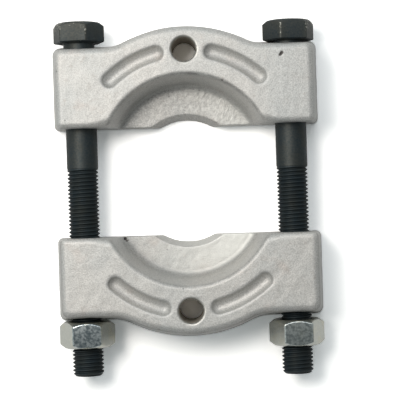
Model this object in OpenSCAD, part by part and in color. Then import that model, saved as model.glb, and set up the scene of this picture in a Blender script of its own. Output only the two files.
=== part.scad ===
// Bearing separator: two cast half jaws with a wedge-edged web,
// drawn together by two long hex bolts and two hex nuts.
// Lies on its flat back. X across the bolts, Y along the bolts towards the heads, Z up.

/* [Jaw body] */
// Reach of an ear past its bolt axis, at the back
ear_reach = 11.8; // [10.4:0.1:18]
// Height of an ear at the back, mating face to outer face
ear_height = 33.4; // [28:0.2:38]
// Height of the crown at the back, mating face to apex
crown_height = 40.8; // [37:0.2:46]
// Radius of the crown at the back
crown_radius = 54.5; // [50:0.5:60]
// Concave radius that runs the ear into the crown
crown_blend = 13; // [6:0.5:20]
// Thickness of a jaw
jaw_thickness = 25; // [21:0.5:36]
// Open distance between the two mating faces
jaw_gap = 42.6; // [0.5:0.1:52]
// Casting draft of the outer walls, wider at the back, degrees
draft_angle = 7.2; // [1:0.1:9]
// Rounding of the upper edges
top_edge_radius = 1.8; // [0.6:0.1:2.2]
// Rounding of the back edges
back_edge_radius = 0.7; // [0.3:0.1:1.5]
// Plan radius of the outer ear corners
outer_corner_radius = 3.2; // [2.5:0.1:6]
// Plan radius of the ear corners at the mating face
mating_corner_radius = 2.4; // [2.3:0.1:5]

/* [Pocket and wedge] */
// Radius of the pocket rim at the upper face
pocket_rim_radius = 33.2; // [28:0.2:36]
// Lean of the pocket wall, degrees
pocket_wall_lean = 10.7; // [3:0.1:18]
// Thickness of the web under the pocket
web_thickness = 8; // [4:0.5:11]
// Rounding where the pocket wall meets the web
pocket_floor_radius = 1.4; // [0.5:0.1:2.5]
// Rounding of the pocket rim
pocket_rim_rounding = 0.9; // [0.3:0.1:1.8]
// Distance of the notch centre beyond the mating face
notch_offset = 17; // [14:0.1:18.5]
// Radius of the notch at the back face
notch_radius = 19.7; // [18.5:0.1:24]
// Lean of the wedge face round the notch, degrees
wedge_lean = 14.4; // [5:0.1:20]

/* [Puller hole and slots] */
// Radius of the circle that carries the puller hole and the slots
feature_radius = 42.75; // [41:0.05:44]
// Diameter of the puller hole
puller_hole_diameter = 9.5; // [6:0.1:11]
// Diameter of the countersink at the upper mouth
puller_mouth_diameter = 11.4; // [11.2:0.1:13]
// Angle from the crown's middle to the near end of a slot, degrees
slot_start_angle = 14.4; // [12.5:0.1:20]
// Angle from the crown's middle to the far end of a slot, degrees
slot_end_angle = 42.4; // [32:0.1:46]
// Width of a slot at the upper face
slot_width = 5.4; // [2.5:0.1:6.2]
// Depth of a slot
slot_depth = 3; // [2.8:0.1:5]

/* [Bolts] */
// Distance between the two bolt axes
bolt_pitch = 82; // [78:0.5:96]
// Diameter of the bolts at the plain shank
bolt_diameter = 12.2; // [8:0.1:12.8]
// Length of a bolt under the head
bolt_length = 130; // [126:1:160]
// Length of the threaded end
thread_length = 80; // [76:1:110]
// Step down from the shank to the crest of the thread, on each side
thread_relief = 0.04; // [0.02:0.02:0.3]
// Distance from one thread crest to the next
thread_pitch = 1.5; // [1:0.25:2.5]
// Depth of the thread
thread_depth = 0.75; // [0.3:0.05:1.2]
// Width of a bolt head across its flats
head_flats = 18; // [15:0.5:22]
// Height of a bolt head
head_height = 8; // [5:0.1:10]
// Chamfer at the tip of a bolt
tip_chamfer = 1.1; // [0.3:0.1:1.8]
// Margin of the spot face round the nut on each ear
seat_margin = 0.8; // [0.4:0.1:1.4]
// Free play round a bolt in the jaws and the nuts
bolt_clearance = 0.1; // [0.02:0.01:0.4]
// Left bolt drawn back from the ear
left_head_gap = 1.7; // [0:0.1:4]
// Right bolt drawn back from the ear
right_head_gap = 0.3; // [0:0.1:4]
// Turn of the left bolt head, degrees
left_head_turn = 19.1; // [-30:0.1:30]
// Turn of the right bolt head, degrees
right_head_turn = -19.4; // [-30:0.1:30]

/* [Nuts] */
// Width of a nut across its flats
nut_flats = 19; // [17:0.5:24]
// Height of a nut
nut_height = 10.3; // [6:0.1:12]
// Left nut backed off from the ear
left_nut_gap = 0.7; // [0:0.1:4]
// Right nut backed off from the ear
right_nut_gap = 2.1; // [0:0.1:4]
// Turn of the left nut, degrees
left_nut_turn = -27.8; // [-30:0.1:30]
// Turn of the right nut, degrees
right_nut_turn = -28.5; // [-30:0.1:30]

/* [Turned ends of the heads and nuts] */
// Angle of the turned chamfer to the end face, degrees
hex_chamfer_angle = 39; // [20:1:48]
// Set-back of the flat end face inside the flats
hex_chamfer_setback = 0.7; // [0.2:0.05:1.2]

/* [Hidden] */
$fn = 96;
eps = 0.02;
over = 5;
corner_steps = 6;
blend_steps = 10;
crown_steps = 36;
top_steps = 7;
back_steps = 3;
round_steps = 5;
slot_steps = 4;
slot_flat_angle = 20;
slot_arc_steps = 12;
cap_steps = 6;
cap_step = 180 / (cap_steps + 2);

// Common centre of crown, pocket and feature circle, measured from the mating face
arc_offset = crown_radius - crown_height;
axis_z = jaw_thickness / 2;
jaw_width = bolt_pitch + 2 * ear_reach;
blend_y = ear_height + crown_blend;
blend_reach = crown_radius + crown_blend;
blend_x = sqrt(pow(blend_reach, 2) - pow(blend_y + arc_offset, 2));
crown_start = acos(blend_x / blend_reach);
pocket_depth = jaw_thickness - web_thickness;
pocket_floor_r = pocket_rim_radius - pocket_depth * tan(pocket_wall_lean);
puller_y = feature_radius - arc_offset;
puller_r = puller_hole_diameter / 2;
mouth_depth = (puller_mouth_diameter - puller_hole_diameter) / 2;
slot_half = slot_width / 2;
bolt_x = bolt_pitch / 2;
bolt_r = bolt_diameter / 2;
bolt_hole_r = bolt_r + bolt_clearance;
thread_r = bolt_r - thread_relief;
thread_start = thread_length - bolt_length;
nut_hole_r = thread_r + bolt_clearance;
thread_crest = thread_pitch / 4;
thread_turns = floor((thread_length - thread_relief - tip_chamfer - thread_crest) / thread_pitch);
// Spot faces lie where the leaning ear wall crosses the bolt axis
seat_height = ear_height - draft_at(axis_z);
seat_r = max(head_flats, nut_flats) / sqrt(3) + seat_margin;
seat_y = jaw_gap / 2 + seat_height;
left_under_y = seat_y + left_head_gap;
right_under_y = seat_y + right_head_gap;
top_y = max(left_under_y, right_under_y) + head_height;
bottom_y = min(left_under_y, right_under_y) - bolt_length;
// Puts the middle of the whole separator over the origin
centre_y = (top_y + bottom_y) / 2;

// Points on an arc, both ends included
function arc(c, r, a0, a1, n) =
    [for (i = [0:n]) c + r * [cos(a0 + (a1 - a0) * i / n), sin(a0 + (a1 - a0) * i / n)]];

// Jaw outline drawn in by one amount all round and by another at the mating face
function outline(inset, mating_inset) =
    let (
        side = jaw_width / 2 - inset,
        top = ear_height - inset,
        rm = max(mating_corner_radius - mating_inset, 0.15),
        rc = max(outer_corner_radius - mating_inset, 0.15),
        cr = [0, -arc_offset]
    )
    concat(
        arc([-side + rm, mating_inset + rm], rm, 180, 270, corner_steps),
        arc([side - rm, mating_inset + rm], rm, 270, 360, corner_steps),
        arc([side - rc, top - rc], rc, 0, 90, corner_steps),
        arc([blend_x, blend_y], crown_blend + inset, 270, 180 + crown_start, blend_steps),
        arc(cr, crown_radius - inset, crown_start + 1, 179 - crown_start, crown_steps),
        arc([-blend_x, blend_y], crown_blend + inset, 360 - crown_start, 270, blend_steps),
        arc([-side + rc, top - rc], rc, 90, 180, corner_steps)
    );

// Draft leans every wall but the mating face
function draft_at(z) = z * tan(draft_angle);

// Height, edge rounding and draft of each level of the jaw, back to front
jaw_levels = concat(
    [for (i = [0:back_steps])
        let (a = 90 * i / back_steps)
        [back_edge_radius * (1 - cos(a)), back_edge_radius * (1 - sin(a))]],
    [for (i = [0:top_steps])
        let (a = 90 * i / top_steps)
        [jaw_thickness - top_edge_radius * (1 - sin(a)), top_edge_radius * (1 - cos(a))]]
);

// Solid through closed outlines of equal length, one at each height, back to front
module loft(rings, heights) {
    n = len(rings[0]);
    m = len(rings);
    points = [for (k = [0:m - 1]) for (p = rings[k]) [p[0], p[1], heights[k]]];
    walls = [
        for (k = [0:m - 2])
            for (i = [0:n - 1])
                let (j = (i + 1) % n, a = k * n, b = a + n)
                for (t = [[a + i, b + i, b + j], [a + i, b + j, a + j]]) t
    ];
    back = [for (i = [0:n - 1]) i];
    front = [for (i = [n - 1:-1:0]) (m - 1) * n + i];
    polyhedron(points = points, faces = concat([back], walls, [front]), convexity = 6);
}

// Jaw before any hole is cut, with its drafted walls and rounded edges
module jaw_blank() {
    loft(
        [for (l = jaw_levels) outline(l[1] + draft_at(l[0]), l[1])],
        [for (l = jaw_levels) l[0]]
    );
}

// Half section of the pocket: web, floor rounding, leaning wall, rounded rim
module pocket_section() {
    lean = pocket_wall_lean;
    fr = pocket_floor_radius;
    rr = pocket_rim_rounding;
    fc = [pocket_floor_r - fr * tan(45 - lean / 2), web_thickness + fr];
    rc = [pocket_rim_radius + rr * tan(45 + lean / 2), jaw_thickness - rr];
    polygon(concat(
        [[0, web_thickness]],
        arc(fc, fr, 270, 360 - lean, round_steps),
        arc(rc, rr, 180 - lean, 90, round_steps),
        [[rc[0] + over, jaw_thickness], [rc[0] + over, jaw_thickness + over], [0, jaw_thickness + over]]
    ));
}

// Wide round recess that clears the bearing
module pocket() {
    translate([0, -arc_offset, 0])
        rotate_extrude()
            pocket_section();
}

// Leaning notch that leaves the wedge edge at the back of the web
module notch() {
    spread = tan(wedge_lean);
    translate([0, -notch_offset, -over])
        cylinder(
            h = web_thickness + 2 * over,
            r1 = notch_radius - over * spread,
            r2 = notch_radius + (web_thickness + over) * spread
        );
}

// Half width and height of each level of a slot, rounded bottom to mouth
slot_floor_r = slot_half * 0.86;
slot_levels = concat(
    [for (i = [0:slot_steps])
        let (a = slot_flat_angle + (90 - slot_flat_angle) * i / slot_steps)
        [slot_floor_r * sin(a), jaw_thickness - slot_depth + slot_floor_r * (cos(slot_flat_angle) - cos(a))]],
    [[slot_half, jaw_thickness], [slot_half, jaw_thickness + over]]
);

// Round-ended arc band between two angles, half wide either side of the feature circle
function slot_outline(first, last, half) =
    let (
        c = [0, -arc_offset],
        far = c + feature_radius * [cos(last), sin(last)],
        near = c + feature_radius * [cos(first), sin(first)]
    )
    concat(
        arc(c, feature_radius + half, first, last, slot_arc_steps),
        arc(far, half, last + cap_step, last + 180 - cap_step, cap_steps),
        arc(c, feature_radius - half, last, first, slot_arc_steps),
        arc(near, half, first + 180 + cap_step, first + 360 - cap_step, cap_steps)
    );

// Arc slot on one side of the puller hole; side is 1 or -1
module slot(side) {
    first = side > 0 ? 90 - slot_end_angle : 90 + slot_start_angle;
    last = first + slot_end_angle - slot_start_angle;
    loft(
        [for (l = slot_levels) slot_outline(first, last, l[0])],
        [for (l = slot_levels) l[1]]
    );
}

// Puller hole with a countersunk mouth at both faces
module puller_hole() {
    translate([0, puller_y, -over])
        cylinder(h = jaw_thickness + 2 * over, r = puller_r);
    translate([0, puller_y, jaw_thickness - mouth_depth])
        cylinder(h = mouth_depth + eps, r1 = puller_r, r2 = puller_r + mouth_depth + eps);
    translate([0, puller_y, -eps])
        cylinder(h = mouth_depth / 2 + eps, r1 = puller_r + mouth_depth / 2 + eps, r2 = puller_r);
}

// Bolt holes through both ears, each with a spot face square to the bolt
module bolt_holes() {
    for (x = [-bolt_x, bolt_x]) {
        translate([x, -over, axis_z])
            rotate([-90, 0, 0])
                cylinder(h = ear_height + 2 * over, r = bolt_hole_r);
        translate([x, seat_height, axis_z])
            rotate([-90, 0, 0])
                cylinder(h = over, r = seat_r);
    }
}

// One half jaw with its mating face on Y = 0 and its crown towards +Y
module jaw() {
    difference() {
        jaw_blank();
        pocket();
        notch();
        slot(1);
        slot(-1);
        puller_hole();
        bolt_holes();
    }
}

// Hex prism with a corner on -Y; one end or both turned to a chamfer
module chamfered_hex(flats, height, both_ends) {
    corner_r = flats / sqrt(3);
    land_r = flats / 2 - hex_chamfer_setback;
    drop = (corner_r - land_r) * tan(hex_chamfer_angle);
    foot = both_ends ? [[0, 0], [land_r, 0], [corner_r + eps, drop]] : [[0, 0], [corner_r + eps, 0]];
    intersection() {
        rotate([0, 0, 30])
            cylinder(h = height, r = corner_r, $fn = 6);
        rotate_extrude()
            polygon(concat(foot, [[corner_r + eps, height - drop], [land_r, height], [0, height]]));
    }
}

// Half section of one thread turn, crest and groove, at a given height
function thread_turn(top) = [
    [thread_r, top],
    [thread_r, top - thread_crest],
    [thread_r - thread_depth, top - (thread_pitch + thread_crest) / 2]
];

// Half section of the shank, with the thread as rings, down to the chamfered tip
module shank_section() {
    first = thread_start - thread_relief;
    polygon(concat(
        [[0, eps], [bolt_r, eps], [bolt_r, thread_start]],
        [for (i = [0:thread_turns - 1]) for (p = thread_turn(first - i * thread_pitch)) p],
        [
            [thread_r, first - thread_turns * thread_pitch],
            [thread_r, -bolt_length + tip_chamfer],
            [thread_r - tip_chamfer, -bolt_length],
            [0, -bolt_length]
        ]
    ));
}

// Hex bolt along Z, underside of the head at zero, tip down
module bolt(turn) {
    rotate([0, 0, turn])
        chamfered_hex(head_flats, head_height, false);
    rotate_extrude()
        shank_section();
}

// Hex nut with its jaw-side face on Z = 0 and its body towards -Z
module nut(turn) {
    mouth = nut_hole_r * 0.08;
    translate([0, 0, -nut_height])
        difference() {
            rotate([0, 0, turn])
                chamfered_hex(nut_flats, nut_height, true);
            translate([0, 0, -over])
                cylinder(h = nut_height + 2 * over, r = nut_hole_r);
            translate([0, 0, -eps])
                cylinder(h = mouth + eps, r1 = nut_hole_r + mouth + eps, r2 = nut_hole_r);
            translate([0, 0, nut_height - mouth])
                cylinder(h = mouth + eps, r1 = nut_hole_r, r2 = nut_hole_r + mouth + eps);
        }
}

// Stands a turned part on its place along the bolt axis; local +Z becomes +Y
module on_axis(x, y) {
    translate([x, y - centre_y, axis_z])
        rotate([-90, 0, 0])
            children();
}

module upper_jaw() {
    color([0.78, 0.77, 0.75])
        translate([0, jaw_gap / 2 - centre_y, 0])
            jaw();
}

module lower_jaw() {
    color([0.78, 0.77, 0.75])
        translate([0, -jaw_gap / 2 - centre_y, 0])
            rotate([0, 0, 180])
                jaw();
}

module bolt_left() {
    color([0.13, 0.13, 0.13])
        on_axis(-bolt_x, left_under_y)
            bolt(left_head_turn);
}

module bolt_right() {
    color([0.13, 0.13, 0.13])
        on_axis(bolt_x, right_under_y)
            bolt(right_head_turn);
}

module nut_left() {
    color([0.66, 0.68, 0.72])
        on_axis(-bolt_x, -seat_y - left_nut_gap)
            nut(left_nut_turn);
}

module nut_right() {
    color([0.66, 0.68, 0.72])
        on_axis(bolt_x, -seat_y - right_nut_gap)
            nut(right_nut_turn);
}

upper_jaw();
lower_jaw();
bolt_left();
bolt_right();
nut_left();
nut_right();
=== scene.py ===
"""Looks of a bearing separator: two cast jaws, two black bolts and two zinc nuts on a pale floor."""

import logging
import math
from dataclasses import dataclass, field
from enum import Enum

import bmesh
import bpy
import numpy as np
from bpy.types import ID, Material, Node, NodeSocket, NodeTree, Object
from mathutils import Matrix, Vector


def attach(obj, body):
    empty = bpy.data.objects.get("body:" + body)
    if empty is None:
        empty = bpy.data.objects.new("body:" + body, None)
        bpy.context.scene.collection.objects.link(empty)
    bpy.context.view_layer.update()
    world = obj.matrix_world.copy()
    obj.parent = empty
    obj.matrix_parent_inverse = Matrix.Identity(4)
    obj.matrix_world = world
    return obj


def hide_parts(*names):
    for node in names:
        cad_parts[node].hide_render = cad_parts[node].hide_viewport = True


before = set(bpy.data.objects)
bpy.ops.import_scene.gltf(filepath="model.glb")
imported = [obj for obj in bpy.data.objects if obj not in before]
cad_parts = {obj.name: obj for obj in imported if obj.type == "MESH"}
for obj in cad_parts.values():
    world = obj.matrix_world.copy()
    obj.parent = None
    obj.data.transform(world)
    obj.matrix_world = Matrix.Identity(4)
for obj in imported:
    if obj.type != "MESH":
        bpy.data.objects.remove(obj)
LOG = logging.getLogger("bearing_separator")
MM = 0.001
MERGE_M = 1e-7
THREAD_TREE = "wound_thread"
RIPPLE_WAVES = 14
RIPPLE_SPAN = 5.3  # about twice the spread of that many sines
Array = np.ndarray
Colour = tuple[float, float, float, float]
Pair = tuple[float, float]


class Half(Enum):
    """The two jaws; the value is the way that the jaw's crown points along Y."""

    UPPER = 1
    LOWER = -1


class Side(Enum):
    """The two bolts; the value is the sign of the bolt axis's X."""

    LEFT = -1
    RIGHT = 1


def linear(hex_colour: str) -> Colour:
    """Turns an sRGB hex colour to the linear colour that a socket takes.

    Args:
        hex_colour: six hex digits with a leading hash.

    Returns:
        Linear red, green, blue and an alpha of 1.
    """
    parts = [int(hex_colour[i : i + 2], 16) / 255 for i in (1, 3, 5)]
    red, green, blue = (c / 12.92 if c <= 0.04045 else ((c + 0.055) / 1.055) ** 2.4 for c in parts)
    return (red, green, blue, 1.0)


def grey(value: float) -> Colour:
    """A linear grey with an alpha of 1."""
    return (value, value, value, 1.0)


def add(
    tree: NodeTree,
    kind: str,
    links: dict | None = None,
    stops: list[tuple[float, Colour]] | None = None,
    **settings: object,
) -> Node:
    """Adds a node, sets its settings, and links or sets its inputs.

    Args:
        tree: the tree that takes the node.
        kind: the node's type name.
        links: input name or number to an output socket, to a node, which stands for its first
            live output, or to a plain value.
        stops: position and colour of each stop, in order, where the node has a colour ramp.
        settings: properties of the node itself.

    Returns:
        The new node.
    """
    node = tree.nodes.new(kind)
    for name, value in settings.items():
        setattr(node, name, value)
    for key, value in (links or {}).items():
        if isinstance(value, Node):
            value = next(out for out in value.outputs if out.enabled)
        if isinstance(value, NodeSocket):
            tree.links.new(value, node.inputs[key])
        else:
            node.inputs[key].default_value = value
    if stops:
        elements = node.color_ramp.elements
        while len(elements) < len(stops):
            elements.new(0.5)
        for element, (place, colour) in zip(elements, stops):
            element.position = place
            element.color = colour
    return node


@dataclass(frozen=True)
class Finish:
    """What every metal finish shares: one Principled shader on Object coordinates."""

    name: str

    def surface(self, tree: NodeTree, place: NodeSocket) -> dict:
        """Adds the finish's own nodes.

        Args:
            tree: the material's tree.
            place: Object coordinates.

        Returns:
            Shader input to node, socket or value.
        """
        raise NotImplementedError

    def material(self) -> Material:
        """Builds the material.

        Returns:
            The new material.
        """
        made = bpy.data.materials.new(self.name)
        made.use_nodes = True
        tree = made.node_tree
        tree.nodes.clear()
        place = add(tree, "ShaderNodeTexCoord").outputs["Object"]
        shader = add(tree, "ShaderNodeBsdfPrincipled", self.surface(tree, place))
        add(tree, "ShaderNodeOutputMaterial", {"Surface": shader})
        return made


@dataclass(frozen=True)
class BlastedCastSteel(Finish):
    """Cast steel, shot blasted and dull nickel plated: pale, matt, finely pitted, warm in patches."""

    name: str = "blasted_nickel_plated_cast_steel"
    pale: str = "#cdcbc7"
    cool: str = "#c2c3c1"
    stain: str = "#ada69f"
    bloom: str = "#c3a18d"
    cut: str = "#bcbab4"
    bore: str = "#b9b3a8"
    # pale tone for the web: partly cleaner scoured metal, partly painted light and painted glints
    scoured_and_lit: str = "#e4e4df"
    # dark tone for real soot in pits and on the rim, and for painted shade
    soot_and_shade: str = "#3b3633"
    # Shot grit is a touch coarser than the real 0.3 mm, so that it still shows in the render
    grit_mm: float = 0.42
    sand_mm: float = 0.75
    lump_mm: float = 2.2
    pit_mm: float = 7.5
    bloom_mm: float = 10.0
    patch_mm: float = 26.0
    mottling: float = 0.8
    cut_roughness: float = 0.40

    def surface(self, tree: NodeTree, place: NodeSocket) -> dict:
        """Lays stains, grit and pits over the plating, then what the jaw's attributes mark.

        Args:
            tree: the material's tree.
            place: Object coordinates.

        Returns:
            Shader input to node.
        """
        grit, sand, lump, bloom, patch = (
            add(tree, "ShaderNodeTexNoise", {"Vector": place, "Scale": 1 / (size * MM), "Detail": detail})
            for size, detail in (
                (self.grit_mm, 2.0),
                (self.sand_mm, 2.0),
                (self.lump_mm, 3.0),
                (self.bloom_mm, 4.0),
                (self.patch_mm, 3.0),
            )
        )
        pits = add(tree, "ShaderNodeTexVoronoi", {"Vector": place, "Scale": 1 / (self.pit_mm * MM)})
        stained, bloomed, mottle, speck, grain = (
            add(tree, "ShaderNodeValToRGB", {"Fac": source}, [(low, grey(first)), (high, grey(last))])
            for source, low, first, high, last in (
                (lump, 0.60, 0.0, 0.78, 0.5),
                (bloom, 0.62, 0.0, 0.80, 0.2),
                (grit, 0.34, 0.62, 0.64, 1.0),
                (pits, 0.035, 0.55, 0.065, 1.0),
                (sand, 0.36, 0.55, 0.64, 1.0),
            )
        )
        web, scoured_and_lit, cut, bore, soot_and_shade = (
            add(tree, "ShaderNodeAttribute", attribute_name=name).outputs["Fac"]
            for name in ("web", "scoured_and_lit", "cut", "bore", "soot_and_shade")
        )
        tones = [(0.32, linear(self.cool)), (0.62, linear(self.pale))]
        colour = add(tree, "ShaderNodeValToRGB", {"Fac": patch}, tones)
        for share, tone, blend in (
            (stained, linear(self.stain), "MIX"),
            (bloomed, linear(self.bloom), "MIX"),
            (self.mottling, mottle, "MULTIPLY"),
            (1.0, speck, "MULTIPLY"),
            (web, grain, "MULTIPLY"),
            # scoured metal on the web, with painted light brightening it towards +X and painted glints in
            # patches
            (scoured_and_lit, linear(self.scoured_and_lit), "MIX"),
            (cut, linear(self.cut), "MIX"),
            (bore, linear(self.bore), "MIX"),
            # soot in pits and on the rim, and painted shade round the pocket's floor and along the outer
            # edge
            (soot_and_shade, linear(self.soot_and_shade), "MIX"),
        ):
            layers = {"Factor": share, "A": colour, "B": tone}
            colour = add(tree, "ShaderNodeMix", layers, data_type="RGBA", blend_type=blend)
        metal = add(tree, "ShaderNodeMapRange", {"Value": cut, "To Min": 0.6, "To Max": 1.0})
        rough = add(tree, "ShaderNodeMapRange", {"Value": grit, "To Min": 0.46, "To Max": 0.66})
        rough = add(tree, "ShaderNodeMix", {"Factor": cut, "A": rough, "B": self.cut_roughness})
        below: dict = {}
        for height, strength, depth_mm in ((lump, 0.08, 0.30), (sand, web, 0.30), (grit, 0.8, 0.14)):
            links = {"Height": height, "Strength": strength, "Distance": depth_mm * MM, **below}
            below = {"Normal": add(tree, "ShaderNodeBump", links)}
        return {"Base Color": colour, "Metallic": metal, "Roughness": rough, **below}


@dataclass(frozen=True)
class BlackOxideSteel(Finish):
    """Hot blackened steel, oiled: a cool, soft black, rubbed to grey where a spanner bites, with a
    painted highlight in the same grey along the shank.
    """

    name: str = "black_oxide_steel"
    black: str = "#222d32"
    faded: str = "#2a2f2e"
    # rubbed grey, also the tone of the painted highlight along the shank and thread
    rubbed_and_sheen: str = "#464742"
    bare: str = "#a3a39b"
    patch_mm: float = 5.0
    scuff_mm: float = 0.7
    metallic: float = 0.55

    def surface(self, tree: NodeTree, place: NodeSocket) -> dict:
        """Rubs and chips the black where the bolt's attribute says so, and lays the painted highlight
        along the shank the same way.

        Args:
            tree: the material's tree.
            place: Object coordinates.

        Returns:
            Shader input to node or value.
        """
        patch, scuff = (
            add(tree, "ShaderNodeTexNoise", {"Vector": place, "Scale": 1 / (size * MM), "Detail": detail})
            for size, detail in ((self.patch_mm, 4.0), (self.scuff_mm, 3.0))
        )
        # spanner wear on the heads, and a painted highlight along the shank and thread
        worn_and_lit = add(tree, "ShaderNodeAttribute", attribute_name="wear_and_painted_light").outputs["Fac"]
        bite = add(tree, "ShaderNodeMath", {0: scuff, 1: worn_and_lit}, operation="MULTIPLY")
        tones = [(0.38, linear(self.black)), (0.70, linear(self.faded))]
        colour = add(tree, "ShaderNodeValToRGB", {"Fac": patch}, tones)
        for tone, low, high in ((self.rubbed_and_sheen, 0.10, 0.52), (self.bare, 0.50, 0.60)):
            stops = [(low, grey(0.0)), (high, grey(1.0))]
            share = add(tree, "ShaderNodeValToRGB", {"Fac": bite}, stops)
            layers = {"Factor": share, "A": colour, "B": linear(tone)}
            colour = add(tree, "ShaderNodeMix", layers, data_type="RGBA")
        rough = add(tree, "ShaderNodeMapRange", {"Value": patch, "To Min": 0.46, "To Max": 0.62})
        bump = add(tree, "ShaderNodeBump", {"Height": scuff, "Strength": 0.5, "Distance": 0.09 * MM})
        return {"Base Color": colour, "Metallic": self.metallic, "Roughness": rough, "Normal": bump}


@dataclass(frozen=True)
class BrightZinc(Finish):
    """Electroplated zinc, clear passivated: cool grey, finely spangled, straw coloured in patches."""

    name: str = "bright_zinc_plating"
    cool: str = "#bcbfb9"
    light: str = "#cbccc4"
    straw: str = "#cbc7b2"
    dark: str = "#879297"
    bright: str = "#d0d6d7"
    spangle_mm: float = 0.9
    patch_mm: float = 5.0

    def surface(self, tree: NodeTree, place: NodeSocket) -> dict:
        """Tints the plating in patches, and lets the spangle show on the nut's marked flat.

        Args:
            tree: the material's tree.
            place: Object coordinates.

        Returns:
            Shader input to node or value.
        """
        patch, grain = (
            add(tree, "ShaderNodeTexNoise", {"Vector": place, "Scale": 1 / (size * MM), "Detail": detail})
            for size, detail in ((self.patch_mm, 3.0), (self.spangle_mm, 2.0))
        )
        plain, warm, crystal = (
            add(tree, "ShaderNodeValToRGB", {"Fac": source}, stops)
            for source, stops in (
                (grain, [(0.3, linear(self.cool)), (0.7, linear(self.light))]),
                (patch, [(0.48, grey(0.0)), (0.72, grey(0.7))]),
                (grain, [(0.36, linear(self.dark)), (0.62, linear(self.bright))]),
            )
        )
        spangle = add(tree, "ShaderNodeAttribute", attribute_name="spangle").outputs["Fac"]
        colour = plain
        for share, tone in ((warm, linear(self.straw)), (spangle, crystal)):
            layers = {"Factor": share, "A": colour, "B": tone}
            colour = add(tree, "ShaderNodeMix", layers, data_type="RGBA")
        rough = add(tree, "ShaderNodeMapRange", {"Value": grain, "To Min": 0.14, "To Max": 0.26})
        bump = add(tree, "ShaderNodeBump", {"Height": patch, "Strength": 0.25, "Distance": 0.10 * MM})
        return {"Base Color": colour, "Metallic": 1.0, "Roughness": rough, "Normal": bump}


def meet(a: Array, b: Array, radius: float | Array) -> Array:
    """Where two solids overlap, with the edge between them rounded.

    Args:
        a: signed distance to the first solid.
        b: signed distance to the second solid.
        radius: radius of the edge.

    Returns:
        Signed distance to the shared solid.
    """
    corner = np.hypot(np.maximum(a + radius, 0.0), np.maximum(b + radius, 0.0))
    return np.minimum(np.maximum(a, b), -radius) + corner


def fuse(a: Array, b: Array, radius: float) -> Array:
    """Two solids as one, with a fillet between them.

    Args:
        a: signed distance to the first solid.
        b: signed distance to the second solid.
        radius: radius of the fillet.

    Returns:
        Signed distance to the fused solid.
    """
    corner = np.hypot(np.maximum(radius - a, 0.0), np.maximum(radius - b, 0.0))
    return np.maximum(np.minimum(a, b), radius) - corner


def surface_net(values: Array, low: Array, step: float) -> tuple[Array, Array]:
    """Skins the zero level of a grid of signed distances with quads.

    Args:
        values: signed distance at each grid point, with at least two open points all round.
        low: place of the grid's first point.
        step: distance between grid points.

    Returns:
        Points and quads, wound outwards.
    """
    cells = np.array(values.shape) - 1
    total = np.zeros((*cells, 3))
    count = np.zeros(cells)
    rounds = []
    for axis in range(3):
        others = [a for a in range(3) if a != axis]
        first = tuple(slice(None, -1) if a == axis else slice(None) for a in range(3))
        second = tuple(slice(1, None) if a == axis else slice(None) for a in range(3))
        crossed = (values[first] < 0) != (values[second] < 0)
        start, end = values[first][crossed], values[second][crossed]
        index = np.argwhere(crossed)
        point = index.astype(float)
        point[:, axis] += start / (start - end)
        corners = []
        for shift in ((-1, -1), (0, -1), (0, 0), (-1, 0)):
            cell = index.copy()
            cell[:, others] += shift
            corners.append(tuple(cell.T))
            np.add.at(total, corners[-1], point)
            np.add.at(count, corners[-1], 1)
        rounds.append((corners, (start < 0) == (axis == 1)))
    used = count > 0
    number = np.zeros(cells, int)
    number[used] = np.arange(used.sum())
    quads = []
    for corners, backwards in rounds:
        quad = np.stack([number[corner] for corner in corners], 1)
        quad[backwards] = quad[backwards][:, ::-1]
        quads.append(quad)
    return low + step * total[used] / count[used][:, None], np.concatenate(quads)


def ripple(points: Array, wave_mm: float, seed: int) -> Array:
    """A smooth uneven field like the skin of a sand casting.

    Args:
        points: places in millimetres.
        wave_mm: typical distance between two humps.
        seed: picks the pattern.

    Returns:
        Values of about -1 to 1.
    """
    chance = np.random.default_rng(seed)
    total = np.zeros(len(points))
    for _ in range(RIPPLE_WAVES):
        way = chance.normal(size=3)
        way *= 2 * math.pi / (wave_mm * chance.uniform(0.7, 1.5) * np.linalg.norm(way))
        total += np.sin(points @ way + chance.uniform(0, 2 * math.pi))
    return total / RIPPLE_SPAN


def smoothstep(low: float, high: float, value: Array) -> Array:
    """Eases from 0 at low to 1 at high.

    Args:
        low: where the rise starts.
        high: where it ends.
        value: the input.

    Returns:
        The eased value.
    """
    t = np.clip((value - low) / (high - low), 0.0, 1.0)
    return t * t * (3 - 2 * t)


def bell(value: Array, middle: float, spread: float | Array) -> Array:
    """A smooth hump: 1 at the middle, falling to 0 over about twice the spread."""
    return np.exp(-(((value - middle) / spread) ** 2))


def in_scene(name: str, data: ID) -> Object:
    """Makes an object at the origin and links it to the scene.

    Args:
        name: the object's name.
        data: its mesh, lamp or camera.

    Returns:
        The new object.
    """
    made = bpy.data.objects.new(name, data)
    bpy.context.scene.collection.objects.link(made)
    return made


def plain_mesh(name: str, points: Array, faces: Array | list, smooth_below: float) -> Object:
    """Makes an object at the origin from points in millimetres.

    Args:
        name: the object's name.
        points: places in millimetres, in the row frame.
        faces: corner numbers of each face.
        smooth_below: edges that turn more than this many degrees stay sharp.

    Returns:
        The new object, linked to the scene.
    """
    mesh = bpy.data.meshes.new(name)
    mesh.from_pydata((np.asarray(points) * MM).tolist(), [], [list(map(int, f)) for f in faces])
    mesh.validate()
    made = in_scene(name, mesh)
    close_up(made, smooth_below)
    return made


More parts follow.
